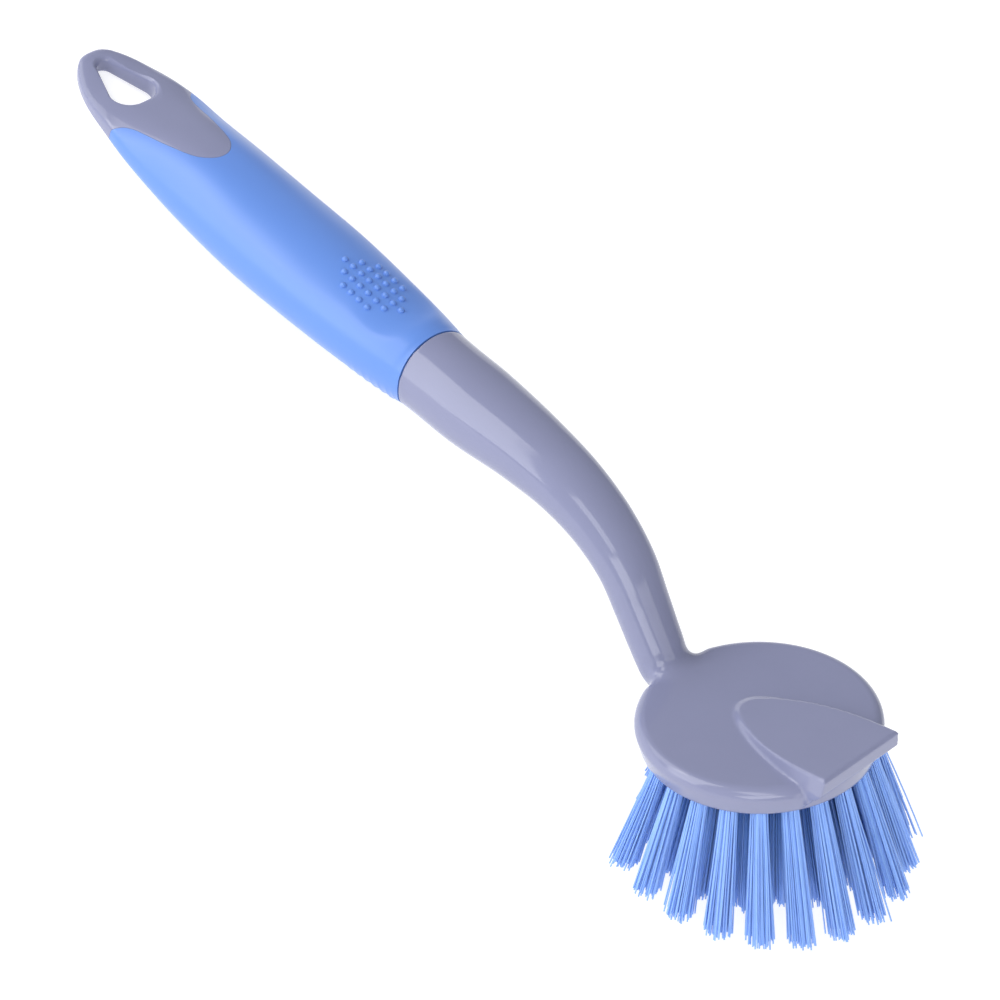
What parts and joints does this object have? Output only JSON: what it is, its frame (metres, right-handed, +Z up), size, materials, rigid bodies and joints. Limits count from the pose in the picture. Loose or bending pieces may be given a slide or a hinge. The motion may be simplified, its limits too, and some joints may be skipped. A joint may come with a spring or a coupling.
{
  "type": "dish-washing brush",
  "caption": "Dish-washing brush: curved handle with hanging loop and soft grip sleeve, round head with a scraper ramp on top and blue bristle tufts below.",
  "frame": {"origin": "centre of the bounding box's bottom face: the surface that the brush lies on, bristles down, midway along its length", "axes": "+X from the hanging loop to the head, +Z up from the surface that it lies on, +Y to the left when looking along +X"},
  "size_m": [0.3128, 0.0814, 0.0581],
  "materials": {
    "hard_plastic": "glossy moulded, grey with a lavender cast",
    "soft_grip": "satin, soft to the touch",
    "bristle": "satin nylon filament"
  },
  "bodies": {
    "root": {"handle_frame": "hard_plastic", "grip_sleeve": "soft_grip", "tuft_outer_01": "bristle", "tuft_outer_02": "bristle", "tuft_outer_03": "bristle", "tuft_outer_04": "bristle", "tuft_outer_05": "bristle", "tuft_outer_06": "bristle", "tuft_outer_07": "bristle", "tuft_outer_08": "bristle", "tuft_outer_09": "bristle", "tuft_outer_10": "bristle", "tuft_outer_11": "bristle", "tuft_outer_12": "bristle", "tuft_outer_13": "bristle", "tuft_outer_14": "bristle", "tuft_outer_15": "bristle", "tuft_middle_01": "bristle", "tuft_middle_02": "bristle", "tuft_middle_03": "bristle", "tuft_middle_04": "bristle", "tuft_middle_05": "bristle", "tuft_middle_06": "bristle", "tuft_middle_07": "bristle", "tuft_middle_08": "bristle", "tuft_middle_09": "bristle", "tuft_middle_10": "bristle", "tuft_middle_11": "bristle", "tuft_middle_12": "bristle", "tuft_middle_13": "bristle", "tuft_middle_14": "bristle", "tuft_middle_15": "bristle", "tuft_middle_16": "bristle", "tuft_middle_17": "bristle", "tuft_inner_01": "bristle", "tuft_inner_02": "bristle", "tuft_inner_03": "bristle", "tuft_inner_04": "bristle", "tuft_inner_05": "bristle", "tuft_inner_06": "bristle", "tuft_inner_07": "bristle", "tuft_inner_08": "bristle", "tuft_inner_09": "bristle", "tuft_centre_01": "bristle"}
  },
  "joints": []
}
